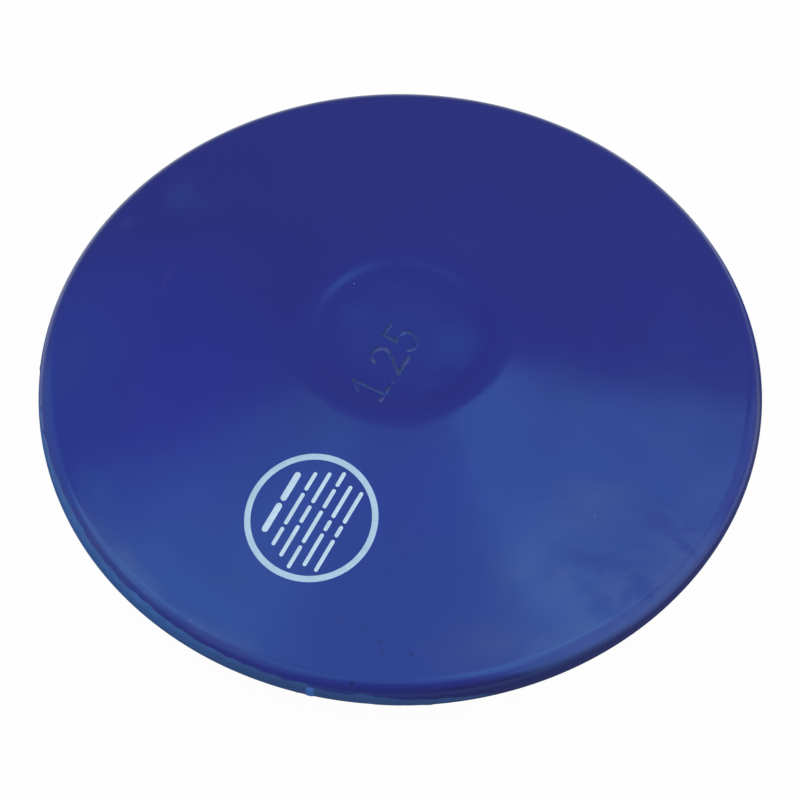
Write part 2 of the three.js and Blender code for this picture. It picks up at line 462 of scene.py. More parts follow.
def half_shell(shape, seam, side):
    """One moulded half as a closed surface of revolution, with its pocket for the core and its face, and how
    far each point is trimmed. Rings run from the pocket's middle out along the parting plane, up the rim,
    over the face and down into the hub. Heights are from the parting plane, and side is 1 for the upper half
    and -1 for the lower one, which is still to be mirrored."""
    coarse = even_bearings(FACE_COLUMNS)
    fine = even_bearings(FACE_COLUMNS * FINE_PER_COARSE)
    inner = pocket_rings(shape, coarse)
    rim, trimmed = rim_rows(fine, shape, seam, side)
    radius, height = face_profile(shape)
    face = ring_points(radius[:-1, None], height[:-1, None], coarse)
    from_rim = smooth_step((radius[0] - radius[:-1, None]) / WAVE_RISE)
    face[..., 2] += waves(face[..., 0], face[..., 1], shape) * from_rim
    hub_middle = height[-1] + waves(np.zeros(1), np.zeros(1), shape)[0]
    poles = np.array([[0, 0, CORE_HALF_THICKNESS], [0, 0, hub_middle]])
    vertices = np.concatenate([block.reshape(-1, 3) for block in (inner, rim, face, poles)])
    first_rim = inner[..., 0].size
    first_face = first_rim + trimmed.size
    low_pole = first_face + face[..., 0].size
    amount = np.zeros(len(vertices))
    amount[first_rim:first_face] = trimmed.ravel()
    outward = stitch(first_rim - FACE_COLUMNS, first_rim, FACE_COLUMNS, FINE_PER_COARSE)
    inward = stitch(first_face, first_face - fine.size, FACE_COLUMNS, FINE_PER_COARSE)
    faces = [
        fan(low_pole, 0, FACE_COLUMNS),
        grid_quads(0, len(inner), FACE_COLUMNS),
        *[block[:, ::-1] for block in outward],
        grid_quads(first_rim, len(rim), fine.size),
        *inward,
        grid_quads(first_face, len(face), FACE_COLUMNS),
        fan(low_pole + 1, low_pole - FACE_COLUMNS, FACE_COLUMNS)[:, ::-1],
    ]
    return vertices, faces, amount


def key_shell(shape, x, y):
    """One rubber key: a closed round bar from the parting plane to just inside the pocket's ceiling."""
    softening = shape.pocket_clearance
    radius = np.array([shape.key_radius - softening, shape.key_radius, shape.key_radius])
    height = np.array([0, softening, CORE_HALF_THICKNESS + softening])
    rings = ring_points(radius[:, None], height[:, None], even_bearings(KEY_COLUMNS)).reshape(-1, 3)
    vertices = np.concatenate([rings, [[0, 0, 0], [0, 0, height[-1]]]]) + [x, y, 0]
    faces = [
        fan(len(rings), 0, KEY_COLUMNS),
        grid_quads(0, len(radius), KEY_COLUMNS),
        fan(len(rings) + 1, len(rings) - KEY_COLUMNS, KEY_COLUMNS)[:, ::-1],
    ]
    return vertices, faces


def joined(shells):
    """Several shells as one array of points and one list of faces."""
    vertices = np.zeros((0, 3))
    faces = []
    for shell_vertices, shell_faces in shells:
        faces += [block + len(vertices) for block in shell_faces]
        vertices = np.concatenate([vertices, shell_vertices])
    return vertices, faces


def rubber_half(name, shape, seam, side, material):
    """One half with its keys, moved to its place over the floor. The lower half is the mirror image, so its
    faces are turned round. The trimmed amount is kept as an attribute for the material."""
    vertices, faces, amount = half_shell(shape, seam, side)
    shells = [(vertices, faces)]
    for x, y, _ in ring_points(shape.key_circle, 0, even_bearings(shape.key_count)):
        shells.append(key_shell(shape, x, y))
    vertices, faces = joined(shells)
    vertices[:, 2] = PARTING_HEIGHT + side * vertices[:, 2]
    if side < 0:
        faces = [block[:, ::-1] for block in faces]
    piece = put_mesh(name, vertices, faces, material, SHARP_ANGLE)
    attribute = piece.data.attributes.new(TRIM_ATTRIBUTE, "FLOAT", "POINT")
    values = np.zeros(len(vertices), dtype=np.float32)
    values[:len(amount)] = amount
    attribute.data.foreach_set("value", values)
    return piece


# Beads: strokes of rubber or ink that follow a path over the face

def resampled(points, step, closed=False):
    """Evenly spaced points along a line of points."""
    if closed:
        points = np.concatenate([points, points[:1]])
    lengths = np.hypot(*np.diff(points, axis=0).T)
    travel = np.concatenate([[0], np.cumsum(lengths)])
    count = max(3, int(round(travel[-1] / step)) + 1)
    at = np.linspace(0, travel[-1], count)
    if closed:
        at = at[:-1]
    return np.stack([np.interp(at, travel, points[:, 0]), np.interp(at, travel, points[:, 1])], axis=1)


def capped(path, tangent, half):
    """An open path carried on by half its width beyond both ends, with its tangents, and the share of its
    width at each point, which shrinks beyond the ends as a quarter circle does."""
    turn = np.linspace(0, np.pi / 2, CAP_STEPS)
    added = CAP_STEPS - 1
    start = path[0] - tangent[0] * (half * np.cos(turn))[:, None]
    end = path[-1] + tangent[-1] * (half * np.sin(turn))[:, None]
    swell = np.concatenate([np.sin(turn)[:-1], np.ones(len(path)), np.cos(turn)[1:]])
    path = np.concatenate([start[:-1], path, end[1:]])
    tangent = np.concatenate([np.repeat(tangent[:1], added, 0), tangent, np.repeat(tangent[-1:], added, 0)])
    return path, tangent, swell


def bead(path, width, relief, sunk, surface, step, closed=False, rng=None):
    """A raised stroke with round ends. The path is carried along in plan; across it the height is a cosine of
    the share of the half width, and at an open end both width and height shrink as a quarter circle does.
    With a random source both also swell and shrink a little along the stroke. Its foot is sunk a little into
    the surface, whose height is asked for at every point."""
    half = width / 2
    path = resampled(path, step, closed)
    if closed:
        tangent = np.roll(path, -1, axis=0) - np.roll(path, 1, axis=0)
    else:
        tangent = np.gradient(path, axis=0)
    tangent /= np.hypot(tangent[:, 0], tangent[:, 1])[:, None]
    swell = np.ones(len(path))
    if not closed:
        path, tangent, swell = capped(path, tangent, half)
    if rng is not None:
        knots = rng.uniform(LEAST_SWELL, 1, len(path) // KNOT_STEPS + 2)
        swell = swell * np.interp(np.linspace(0, 1, len(path)), np.linspace(0, 1, len(knots)), knots)
    swell = swell[:, None]
    across = np.stack([-tangent[:, 1], tangent[:, 0]], axis=1)
    share = np.linspace(1, -1, BEAD_SIDES)
    rise = np.concatenate([np.cos(share * np.pi / 2), [-1, -1]])
    share = np.concatenate([share, [-1, 1]])
    plan = path[:, None, :] + across[:, None, :] * (swell * share * half)[..., None]
    lift = np.where(rise >= 0, rise * relief * swell, -sunk)
    height = surface(plan[..., 0], plan[..., 1]) + lift
    points = np.concatenate([plan, height[..., None]], axis=-1)
    rows, columns = points.shape[:2]
    if closed:
        return points.reshape(-1, 3), [grid_quads(0, rows, columns), wrapped_row(rows, columns)]
    tips = points[[0, -1]].mean(axis=1)
    vertices = np.concatenate([points[1:-1].reshape(-1, 3), tips])
    faces = [
        grid_quads(0, rows - 2, columns),
        fan(len(vertices) - 2, 0, columns),
        fan(len(vertices) - 1, (rows - 3) * columns, columns)[:, ::-1],
    ]
    return vertices, faces


def arc(centre, radius, start, end, steps=40):
    """Points of an arc; angles in degrees."""
    angle = np.radians(np.linspace(start, end, steps))
    return np.stack([centre[0] + radius * np.cos(angle), centre[1] + radius * np.sin(angle)], axis=1)


def numeral_strokes():
    """Strokes of 1, point, 2 and 5 as shares of the numeral's height, each from its own lower left corner."""
    two_bow = arc((0.29, 0.71), 0.27, 165, -38)
    five_bowl = arc((0.25, 0.32), 0.31, 118, -140)
    strokes = {
        "one": [[[0.07, 0.74], [0.30, 0.98]], [[0.30, 0.98], [0.30, 0.02]], [[0.06, 0.0], [0.54, 0.0]]],
        "point": [[[0.0, 0.0], [0.02, 0.02]]],
        "two": [[*two_bow, [0.02, 0.0]], [[0.02, 0.0], [0.60, 0.0]]],
        "five": [[[0.55, 1.0], [0.14, 1.0]], [[0.14, 1.0], five_bowl[0]], five_bowl],
    }
    return {name: [np.array(stroke) for stroke in lines] for name, lines in strokes.items()}


# Where each numeral's lower left corner lies along and across the line of numerals, in shares of its height
NUMERAL_SHARES = {
    "one": (-2.35, -0.64),
    "point": (-1.57, -0.64),
    "two": (-1.27, -0.64),
    "five": (-0.43, -0.64),
}

# Rows of bars inside the ring: place across the rows in pitches, then the lengths of the bars in millimetres
BarRow = namedtuple("BarRow", "place lengths heavy")
BAR_ROWS = [
    BarRow(-2.70, (8.7, 8.7), True),
    BarRow(-1.50, (5.5, 9.6, 5.6), False),
    BarRow(-0.50, (9.4, 5.2, 9.4), False),
    BarRow(0.50, (6.8, 9.8, 5.8, 4.4), False),
    BarRow(1.50, (9.8, 3.2, 9.8), False),
    BarRow(2.50, (9.6, 3.4, 9.6), False),
]


def stamp_strokes(marking, shape):
    """The numerals' strokes, laid along their bearing on the hub's floor, as beads."""
    surface = upper_surface(shape)
    along = np.array([math.cos(marking.turn), math.sin(marking.turn)])
    upward = np.array([-along[1], along[0]])
    rng = np.random.default_rng(NUMERAL_SEED)
    beads = []
    for name, strokes in numeral_strokes().items():
        corner = np.array(NUMERAL_SHARES[name])
        for stroke in strokes:
            shares = (stroke + corner) * marking.height
            path = shares[:, :1] * along + shares[:, 1:] * upward
            beads.append(bead(path, marking.stroke, marking.relief, SUNK_FOOT, surface, BEAD_STEP, rng=rng))
    return joined(beads)


def on_slope(points, shape):
    """Points of the print, flat on the sloping face round the ring's middle, moved to their places in plan.
    The slope shortens them towards the rim by its cosine."""
    middle = np.array([RING_MIDDLE.x, RING_MIDDLE.y])
    outward = middle / np.hypot(*middle)
    along = points @ outward
    return middle + points + np.outer(along * (math.cos(face_slope(shape)) - 1), outward)


def ring_bead(print_sizes, shape):
    """The printed ring's line: a thin closed bead along a circle on the slope."""
    line = print_sizes.line_width
    bearings = even_bearings(RING_STEPS)
    radius = print_sizes.outer_diameter / 2 - line / 2
    path = on_slope(radius * np.stack([np.cos(bearings), np.sin(bearings)], axis=1), shape)
    step = 2 * np.pi * radius / RING_STEPS
    return bead(path, line, print_sizes.ink, SUNK_INK, upper_surface(shape), step, closed=True)


def bar_beads(print_sizes, shape):
    """Plain rounded bars in slanted rows inside the ring, each row centred on its line."""
    surface = upper_surface(shape)
    along = np.array([math.cos(print_sizes.row_turn), math.sin(print_sizes.row_turn)])
    downward = np.array([along[1], -along[0]])
    beads = []
    for row in BAR_ROWS:
        width = print_sizes.heavy_bar_width if row.heavy else print_sizes.bar_width
        lengths = [length * MM for length in row.lengths]
        start = -(sum(lengths) + print_sizes.bar_gap * (len(lengths) - 1)) / 2
        for length in lengths:
            ends = np.array([start + width / 2, start + length - width / 2])
            line = ends[:, None] * along + row.place * print_sizes.row_pitch * downward
            beads.append(bead(on_slope(line, shape), width, print_sizes.ink, SUNK_INK, surface, BAR_STEP))
            start += length + print_sizes.bar_gap
    return joined(beads)


# Materials

Noise = namedtuple("Noise", "size detail roughness distortion", defaults=(3.0, 0.5, 0.0))

# Noises in the rubber
CLOUDS = Noise(34 * MM, 4.0, 0.55, 0.4)
BILLOWS = Noise(16 * MM, 3.0, 0.6, 0.5)
STREAKS = Noise(2.8 * MM, 3.0, 0.55)
MOTTLE = Noise(3.2 * MM, 4.0, 0.6)
DULL_CLOUDS = Noise(22 * MM, 5.0, 0.6, 0.3)
GRAIN = Noise(0.5 * MM, 2.0)
SKIN = Noise(4.5 * MM, 3.0)
SCRATCHES = Noise(0.9 * MM, 4.0, 0.65)

# Noises in the numerals, the ink and the steel
WEAR = Noise(1.3 * MM, 4.0, 0.6)
DUST = Noise(4 * MM, 2.0)
WORN_GRAIN = Noise(0.35 * MM, 3.0)
THIN_INK = Noise(5 * MM, 4.0, 0.6)
PINHOLES = Noise(0.32 * MM, 2.0)
DULL_INK = Noise(1.1 * MM, 3.0)
INK_GRAIN = Noise(0.25 * MM, 2.0)
BRUSHING = Noise(0.4 * MM, 4.0, 0.6)
MILL_SCALE = Noise(12 * MM, 5.0, 0.6)

# Size and reach of the noises that bend the marks' edges, and that fray them
BEND = (9 * MM, 5 * MM)
FRAY = (2.2 * MM, 1.2 * MM)

# Turn of the streaks in radians, and how streaks and brushing are stretched
STREAK_TURN = 0.45
STREAK_STRETCH = (0.3, 1.0, 1.0)
BRUSHING_STRETCH = (0.04, 1.0, 1.0)

# The ways in which painted shade darkens the rim, in which the painted shade stands higher and the trimmed
# band gets duller, and in which the matt seam is wider
RIM_SHADE_WAY = (0.707, -0.707, 0.0)
NEAR_WAY = (0.0, -1.0, 0.0)
SIDE_WAY = (0.985, 0.174, 0.0)

# Heights over the parting line at which the painted rim shade and the matt seam begin to end and have ended,
# and what is added to them on the near side and on the right
RIM_SHADE_ENDS = (1.9 * MM, 3.9 * MM)
MATT_ENDS = (2.0 * MM, 4.2 * MM)
RIM_SHADE_HIGHER_NEAR = 1.5 * MM
RIM_SHADE_HIGHER_SIDE = 1.3 * MM
MATT_HIGHER_SIDE = 1.4 * MM
MATT_ROUGHNESS = 0.88
BUFFED_ROUGHNESS = 0.6

# How much darker or lighter than the trimmed colour the mottle, the near part and the nib are
MOTTLED = 0.82
BUFFED_NEAR = (0.8, 0.62, 0.62)
BUFFED_NIB = 1.25

# Marks on the upper face: place, half length and half width, turn and strength
Mark = namedtuple("Mark", "x y long wide turn strength")


def marks(*rows):
    """Marks from rows whose first four numbers are in millimetres."""
    return [Mark(*(size * MM for size in row[:4]), *row[4:]) for row in rows]


# Painted light: patches that make the face paler on the left, on the near side and round the middle, where
# more light falls
PAINTED_LIGHT = marks((-70, -9, 64, 64, 0.0, 1.0), (-5, -48, 60, 36, 0.0, 0.4), (0, 6, 66, 66, 0.0, 0.42))
# Dull bloom that also paints highlight: its patches lie on the lit lobe on the near right and along the rim's
# left shoulder
HAZE_AND_SHEEN = marks(
    (62, -75, 46, 24, 0.70, 1.0),
    (50, -51, 22, 14, 0.20, 0.8),
    (38, -68, 24, 20, 0.6, 0.7),
    (82, -44, 18, 12, 1.10, 0.5),
    (24, -87, 30, 13, 0.20, 0.55),
    (-72.5, -61.3, 32, 4.8, -0.86, 0.85),
    (-48, -82.5, 26, 4.4, -0.52, 0.8),
    (44, -83.5, 28, 7, 0.48, 0.9),
    (69, -64.5, 24, 7, 0.82, 0.9),
)
SMEARS = marks(
    (52, -64, 17, 4.2, -0.17, 1.0),
    (60.5, -69, 9, 5.5, -0.9, 0.95),
    (51, -75.5, 7, 5, -0.6, 1.0),
    (46.5, -71.5, 7, 4, -0.4, 0.7),
    (57, -75, 6, 3, 1.2, 0.7),
    (66.8, -51.3, 10, 4, -0.57, 1.0),
    (75, -53.6, 8, 2.2, 0.12, 0.9),
    (73.5, -57.2, 8, 2.2, -0.88, 0.9),
    (63.4, -59.7, 4.5, 2, -0.6, 0.7),
    (69, -47, 8, 3, -0.3, 0.6),
)
# Paler wipes, partly painted highlight: those on the near right lobe and at the hub's upper left edge lighten
# the face where light is reflected
WIPES_AND_HIGHLIGHTS = marks(
    (55.5, -80.5, 9, 2.4, 1.05, 0.8),
    (48, -85, 9, 3, 0.5, 0.7),
    (64, -76, 12, 3, 0.75, 0.6),
    (43, -54, 11, 6, 0.4, 0.55),
    (-65, 25, 9, 1.8, 1.35, 0.55),
    (-78, 47, 6, 4, 0.9, 0.5),
    (-24.4, 9.5, 4.5, 1.4, 1.3, 0.4),
)
# Greenish patches: partly stains, partly painted teal reflection on the hub floor and along the left side of
# the face
GREENISH = marks(
    (14.8, -4, 13, 11, 0.6, 1.0),
    (-12.5, 6, 9, 6, 0.3, 0.8),
    (7.2, -17.5, 8, 3.5, 0.3, 0.6),
    (-1, 14, 9, 5, 0.2, 0.4),
    (-63, 56, 12, 7, 1.57, 0.6),
    (-57, 51, 12, 9, 0.2, 0.35),
    (-90, -4, 34, 60, 0.0, 0.5),
    (-80, -42, 18, 9, -1.1, 0.6),
    (-52, -72, 30, 11, -0.6, 0.5),
    (33, -57, 9, 9, 0.9, 0.3),
)
# A light greenish tint over the hub floor, partly painted teal reflection
HUB_FLOOR = marks((0, 0, 25, 25, 0.0, 2.0))
DARK_SPECKS = marks(
    (2.8, -90, 1.0, 0.6, 0.2, 1.0),
    (-4.8, -86.7, 0.8, 0.7, 0.0, 0.9),
    (-12, -96.7, 0.9, 0.6, 0.4, 1.0),
    (-4.3, -89.5, 0.7, 0.5, 0.0, 0.8),
    (-8.3, -83.9, 0.7, 0.5, 0.9, 0.8),
    (-15.2, -80.3, 0.8, 0.5, 0.3, 0.8),
    (-0.6, -7.2, 0.7, 0.7, 0.0, 1.0),
    (8.4, -16.2, 0.6, 0.5, 0.3, 0.7),
    (16.2, -13.4, 0.8, 0.4, 0.2, 0.7),
    (6.8, -25.2, 0.9, 0.7, 0.5, 0.9),
    (21.5, -19.8, 0.6, 0.5, 0.0, 0.6),
)
LIGHT_SPECKS = marks(
    (-12.6, 16.5, 0.36, 0.36, 0.0, 1.0),
    (50.6, -51.7, 0.3, 0.3, 0.0, 0.6),
    (52.2, -84.4, 0.3, 0.3, 0.0, 0.6),
    (-53.4, -79.6, 0.5, 0.3, 0.6, 0.5),
)


class Graph:
    """Builds a node tree: each call adds a node, feeds its inputs and gives back the node or its output."""

    def __init__(self, tree):
        self.tree = tree
        self.tree.nodes.clear()

    def feed(self, node, key, value):
        """Links a socket to a node's input, or sets the input to a value."""
        if isinstance(value, bpy.types.NodeSocket):
            self.tree.links.new(value, node.inputs[key])
        else:
            node.inputs[key].default_value = value

    def node(self, kind, inputs=None, **settings):
        """A node of that kind; inputs are values or sockets by name or place."""
        made = self.tree.nodes.new(kind)
        for name, value in settings.items():
            setattr(made, name, value)
        for key, value in (inputs or {}).items():
            self.feed(made, key, value)
        return made

    def place(self):
        """Object coordinates, in metres."""
        return self.node("ShaderNodeTexCoord").outputs["Object"]

    def height(self, place):
        """The height of a place."""
        return self.node("ShaderNodeSeparateXYZ", {"Vector": place}).outputs["Z"]

    def noise(self, place, noise, output="Fac"):
        """Noise from 0 to 1 whose features are about its size across."""
        inputs = {"Vector": place, "Scale": 1 / noise.size, "Detail": noise.detail}
        inputs.update({"Roughness": noise.roughness, "Distortion": noise.distortion})
        return self.node("ShaderNodeTexNoise", inputs).outputs[output]

    def ramp(self, value, low, high, to_low=0.0, to_high=1.0):
        """A value moved from one range to another, smoothly and kept inside."""
        inputs = {"Value": value, "From Min": low, "From Max": high, "To Min": to_low, "To Max": to_high}
        return self.node("ShaderNodeMapRange", inputs, interpolation_type="SMOOTHSTEP").outputs["Result"]

    def calc(self, kind, first, second=0.0):
        """What a Math node of that kind makes of two values."""
        return self.node("ShaderNodeMath", {0: first, 1: second}, operation=kind).outputs["Value"]

    def times(self, first, second):
        """The product of two values."""
        return self.calc("MULTIPLY", first, second)

    def vector(self, kind, inputs, output="Vector"):
        """What a Vector Math node of that kind makes of its inputs."""
        return self.node("ShaderNodeVectorMath", inputs, operation=kind).outputs[output]

    def mapped(self, place, kind="POINT", **inputs):
        """A place moved by a Mapping node of that kind."""
        inputs["Vector"] = place
        return self.node("ShaderNodeMapping", inputs, vector_type=kind).outputs["Vector"]

    def mix(self, share, first, second):
        """Two colours mixed."""
        first = first if isinstance(first, bpy.types.NodeSocket) else (*first, 1.0)
        second = second if isinstance(second, bpy.types.NodeSocket) else (*second, 1.0)
        return self.node("ShaderNodeMix", {0: share, 6: first, 7: second}, data_type="RGBA").outputs[2]

    def bump(self, height, distance, strength=1.0, normal=None):
        """A normal bent by a height from 0 to 1 that stands for that distance."""
        inputs = {"Height": height, "Distance": distance, "Strength": strength}
        if normal is not None:
            inputs["Normal"] = normal
        return self.node("ShaderNodeBump", inputs).outputs["Normal"]

    def toward(self, place, way, low, high):
        """From 0 to 1 along a way across the disc, between two shares of its radius."""
        along = self.vector("DOT_PRODUCT", {0: place, 1: way}, "Value")
        return self.ramp(along, low * DISC_RADIUS, high * DISC_RADIUS)

    def bent(self, place, size, reach):
        """Places pushed about by noise of that size, so that a mark has an uneven edge."""
        push = self.vector("SUBTRACT", {0: self.noise(place, Noise(size, 4.0), "Color"), 1: (0.5, 0.5, 0.5)})
        return self.vector("ADD", {0: place, 1: self.vector("SCALE", {0: push, "Scale": reach})})

    def blob(self, place, mark):
        """A soft oval patch, 1 in its middle and 0 at its edge, placed and turned by a Mapping node."""
        location = (mark.x, mark.y, DISC_THICKNESS / 2)
        scale = (mark.long, mark.wide, DISC_THICKNESS)
        placed = self.mapped(place, "TEXTURE", Location=location, Rotation=(0, 0, mark.turn), Scale=scale)
        patch = self.node("ShaderNodeTexGradient", {"Vector": placed}, gradient_type="SPHERICAL")
        return patch.outputs["Fac"]

    def marked(self, place, marks_there):
        """The strengths of several marks, the strongest one at each place."""
        total = None
        for mark in marks_there:
            patch = self.times(self.blob(place, mark), mark.strength)
            total = patch if total is None else self.calc("MAXIMUM", total, patch)
        return total


def new_material(name, colour):
    """An empty material with its graph, its shader and its viewport colour."""
    material = bpy.data.materials.new(name)
    material.use_nodes = True
    material.diffuse_color = (*colour, 1.0)
    graph = Graph(material.node_tree)
    shader = graph.node("ShaderNodeBsdfPrincipled")
    graph.node("ShaderNodeOutputMaterial", {"Surface": shader.outputs["BSDF"]})
    return material, graph, shader


def feed_shader(graph, shader, colour, rough, normal, **others):
    """Links the shader's colour, roughness and normal, and sets others; an underscore stands for a space."""
    inputs = {"Base Color": colour, "Roughness": rough, "Normal": normal}
    inputs.update({name.replace("_", " "): value for name, value in others.items()})
    for key, value in inputs.items():
        graph.feed(shader, key, value)


def rubber_gloss(finishes):
    """The shader's settings that give the rubber its tinted gloss."""
    tint = (*finishes.gloss_tint, 1.0)
    return {"IOR": finishes.gloss_ior, "Specular_IOR_Level": finishes.gloss, "Specular_Tint": tint}


def scaled(colour, factors):
    """A colour with its channels multiplied by one factor or by three."""
    return tuple(np.multiply(factors, colour))


def face_colour(graph, finishes, place):
    """The rubber's blue in slow clouds, with painted light that makes it paler on the left, on the near side
    and in the middle. Over it on the upper side lie a hazy bloom in billows that also paints highlights,
    smears in streaks that wipe it away, greenish stains that also paint a teal reflection, paler wipes that
    partly paint highlights, and specks, each layer mixed over the one before."""
    clouds = graph.ramp(graph.noise(place, CLOUDS), 0.32, 0.70, -0.12, 0.12)
    # Painted light: the paler patches are added to the clouds here
    clouds = graph.calc("ADD", clouds, graph.ramp(graph.marked(place, PAINTED_LIGHT), 0.0, 0.6))
    colour = graph.mix(clouds, finishes.rubber, finishes.rubber_pale_and_lit)
    top = graph.ramp(graph.height(place), PARTING_HEIGHT, PARTING_HEIGHT + 2 * MM)
    bent = graph.bent(place, *BEND)
    frayed = graph.bent(bent, *FRAY)
    streaks = graph.noise(graph.mapped(bent, Rotation=(0, 0, STREAK_TURN), Scale=STREAK_STRETCH), STREAKS)
    billows = graph.ramp(graph.noise(place, BILLOWS), 0.36, 0.62, 0.65, 1.25)
    # Dull bloom and painted highlight over the lit lobes
    haze_and_sheen = graph.ramp(graph.times(graph.marked(bent, HAZE_AND_SHEEN), billows), 0.0, 0.8)
    haze_and_sheen = graph.times(haze_and_sheen, graph.ramp(streaks, 0.3, 0.6, 0.8, 1.0))
    smears = graph.times(graph.marked(frayed, SMEARS), graph.ramp(streaks, 0.34, 0.64, 1.3, 0.6))
    layers = (
        (haze_and_sheen, 1.0, finishes.haze_and_sheen),
        (graph.ramp(smears, 0.0, 0.75), 0.9, finishes.smear),
        # Greenish tint and patches: partly stains, partly painted teal reflection
        (graph.ramp(graph.marked(bent, HUB_FLOOR), 0.0, 1.0), 0.34, finishes.stain_and_sheen),
        (graph.ramp(graph.marked(bent, GREENISH), 0.0, 0.8), 0.9, finishes.stain_and_sheen),
        # Paler wipes, partly painted highlight on the near right and at the hub's upper left edge
        (graph.ramp(graph.marked(frayed, WIPES_AND_HIGHLIGHTS), 0.0, 0.7), 0.6, scaled(finishes.haze_and_sheen, 1.12)),
        (graph.ramp(graph.marked(place, DARK_SPECKS), 0.1, 0.7), 0.8, finishes.dark_speck),
        (graph.ramp(graph.marked(place, LIGHT_SPECKS), 0.2, 0.6), 1.0, finishes.light_speck),
    )
    for amount, cover, paint in layers:
        colour = graph.mix(graph.times(graph.times(amount, top), cover), colour, paint)
    return colour


def rim_colour(graph, finishes, place, from_seam, cut_back, colour):
    """The face's colour darkened beside the seam by painted shade, strongest on the near right, and the
    buffed band
    where the seam was trimmed: mottled, darker on the near side and lighter on the nib."""
    near = graph.toward(place, NEAR_WAY, 0.75, 0.97)
    side = graph.toward(place, SIDE_WAY, 0.85, 0.95)
    higher = graph.calc("ADD", graph.times(near, RIM_SHADE_HIGHER_NEAR), graph.times(side, RIM_SHADE_HIGHER_SIDE))
    # Painted shade: darkens the rim beside the seam, reaching higher on the near side and the right,
    # strongest towards the near right
    painted_rim_shade = graph.ramp(graph.calc("SUBTRACT", from_seam, higher), *RIM_SHADE_ENDS, 0.95, 0.0)
    colour = graph.mix(graph.times(painted_rim_shade, graph.toward(place, RIM_SHADE_WAY, 0.4, 0.9)), colour, finishes.painted_rim_shade)
    mottle = graph.ramp(graph.noise(place, MOTTLE), 0.35, 0.66)
    buffed = graph.mix(mottle, finishes.trimmed, scaled(finishes.trimmed, MOTTLED))
    buffed = graph.mix(near, buffed, scaled(finishes.trimmed, BUFFED_NEAR))
    buffed = graph.mix(graph.ramp(cut_back, 1.0, 1.8), buffed, scaled(finishes.trimmed, BUFFED_NIB))
    return graph.mix(graph.calc("MINIMUM", cut_back, 1.0), colour, buffed)


def rubber_roughness(graph, finishes, place, from_seam, trimmed):
    """Slow clouds of duller and glossier rubber, a matt seam and a buffed band; the roughest one counts."""
    base = finishes.roughness
    rough = graph.ramp(graph.noise(place, DULL_CLOUDS), 0.3, 0.72, base - 0.05, base + 0.07)
    wider = graph.times(graph.toward(place, SIDE_WAY, 0.92, 0.99), MATT_HIGHER_SIDE)
    matt = graph.ramp(graph.calc("SUBTRACT", from_seam, wider), *MATT_ENDS, MATT_ROUGHNESS, 0.0)
    rough = graph.calc("MAXIMUM", rough, matt)
    return graph.calc("MAXIMUM", rough, graph.times(trimmed, BUFFED_ROUGHNESS))


def moulded_rubber(finishes):
    """Glossy moulded rubber: a marked blue face, painted shade beside the seam and a buffed band where the
    seam was trimmed, under a fine grain, an uneven skin and, on the band, scratches."""
    material, graph, shader = new_material("moulded_rubber", finishes.rubber)
    place = graph.place()
    from_seam = graph.calc("ABSOLUTE", graph.calc("SUBTRACT", graph.height(place), PARTING_HEIGHT))
    cut_back = graph.node("ShaderNodeAttribute", attribute_name=TRIM_ATTRIBUTE).outputs["Fac"]
    trimmed = graph.calc("MINIMUM", cut_back, 1.0)
    colour = rim_colour(graph, finishes, place, from_seam, cut_back, face_colour(graph, finishes, place))
    rough = rubber_roughness(graph, finishes, place, from_seam, trimmed)
    normal = graph.bump(graph.noise(place, GRAIN), 0.004 * MM)
    normal = graph.bump(graph.noise(place, SKIN), 0.05 * MM, 0.5, normal)
    normal = graph.bump(graph.times(graph.noise(place, SCRATCHES), trimmed), 0.12 * MM, 1.0, normal)
    feed_shader(graph, shader, colour, rough, normal, **rubber_gloss(finishes))
    return material


def scuffed_rubber(finishes):
    """The numerals' rubber: the body's blue at the foot, worn and dusty olive on the tops."""
    material, graph, shader = new_material("scuffed_rubber", finishes.scuffed)
    place = graph.place()
    wear = graph.ramp(graph.noise(place, WEAR), 0.38, 0.6)
    colour = graph.mix(wear, finishes.rubber, finishes.scuffed)
    dust = graph.ramp(graph.noise(place, DUST), 0.52, 0.68)
    colour = graph.mix(graph.times(dust, 0.7), colour, finishes.dust)
    rough = graph.ramp(wear, 0.0, 1.0, finishes.roughness + 0.12, finishes.roughness + 0.38)
    normal = graph.bump(graph.noise(place, WORN_GRAIN), 0.03 * MM)
    feed_shader(graph, shader, colour, rough, normal, **rubber_gloss(finishes))
    return material


def pale_ink(name, finishes, ink):
    """Screen-printed ink: pale, a little uneven, with pinholes that let the rubber through."""
    material, graph, shader = new_material(name, ink)
    place = graph.place()
    thin = graph.ramp(graph.noise(place, THIN_INK), 0.35, 0.75, 0.0, 0.12)
    colour = graph.mix(thin, ink, finishes.rubber)
    holes = graph.ramp(graph.noise(place, PINHOLES), 0.70, 0.78)
    colour = graph.mix(graph.times(holes, 0.5), colour, finishes.rubber_pale_and_lit)
    rough = graph.ramp(graph.noise(place, DULL_INK), 0.3, 0.7, 0.42, 0.56)
    normal = graph.bump(graph.noise(place, INK_GRAIN), 0.01 * MM)
    feed_shader(graph, shader, colour, rough, normal, Specular_IOR_Level=finishes.ink_gloss)
    return material


def punched_steel(finishes):
    """Punched plate: brushed along X, with mill scale clouds and scratches in its roughness."""
    material, graph, shader = new_material("punched_steel", finishes.steel)
    place = graph.place()
    brushed = graph.noise(graph.mapped(place, Scale=BRUSHING_STRETCH), BRUSHING)
    scale = graph.ramp(graph.noise(place, MILL_SCALE), 0.42, 0.66)
    colour = graph.mix(graph.times(scale, 0.6), finishes.steel, scaled(finishes.steel, 0.62))
    rough = graph.ramp(brushed, 0.3, 0.7, 0.28, 0.5)
    feed_shader(graph, shader, colour, rough, graph.bump(brushed, 0.01 * MM), Metallic=1.0)
    return material


# Studio

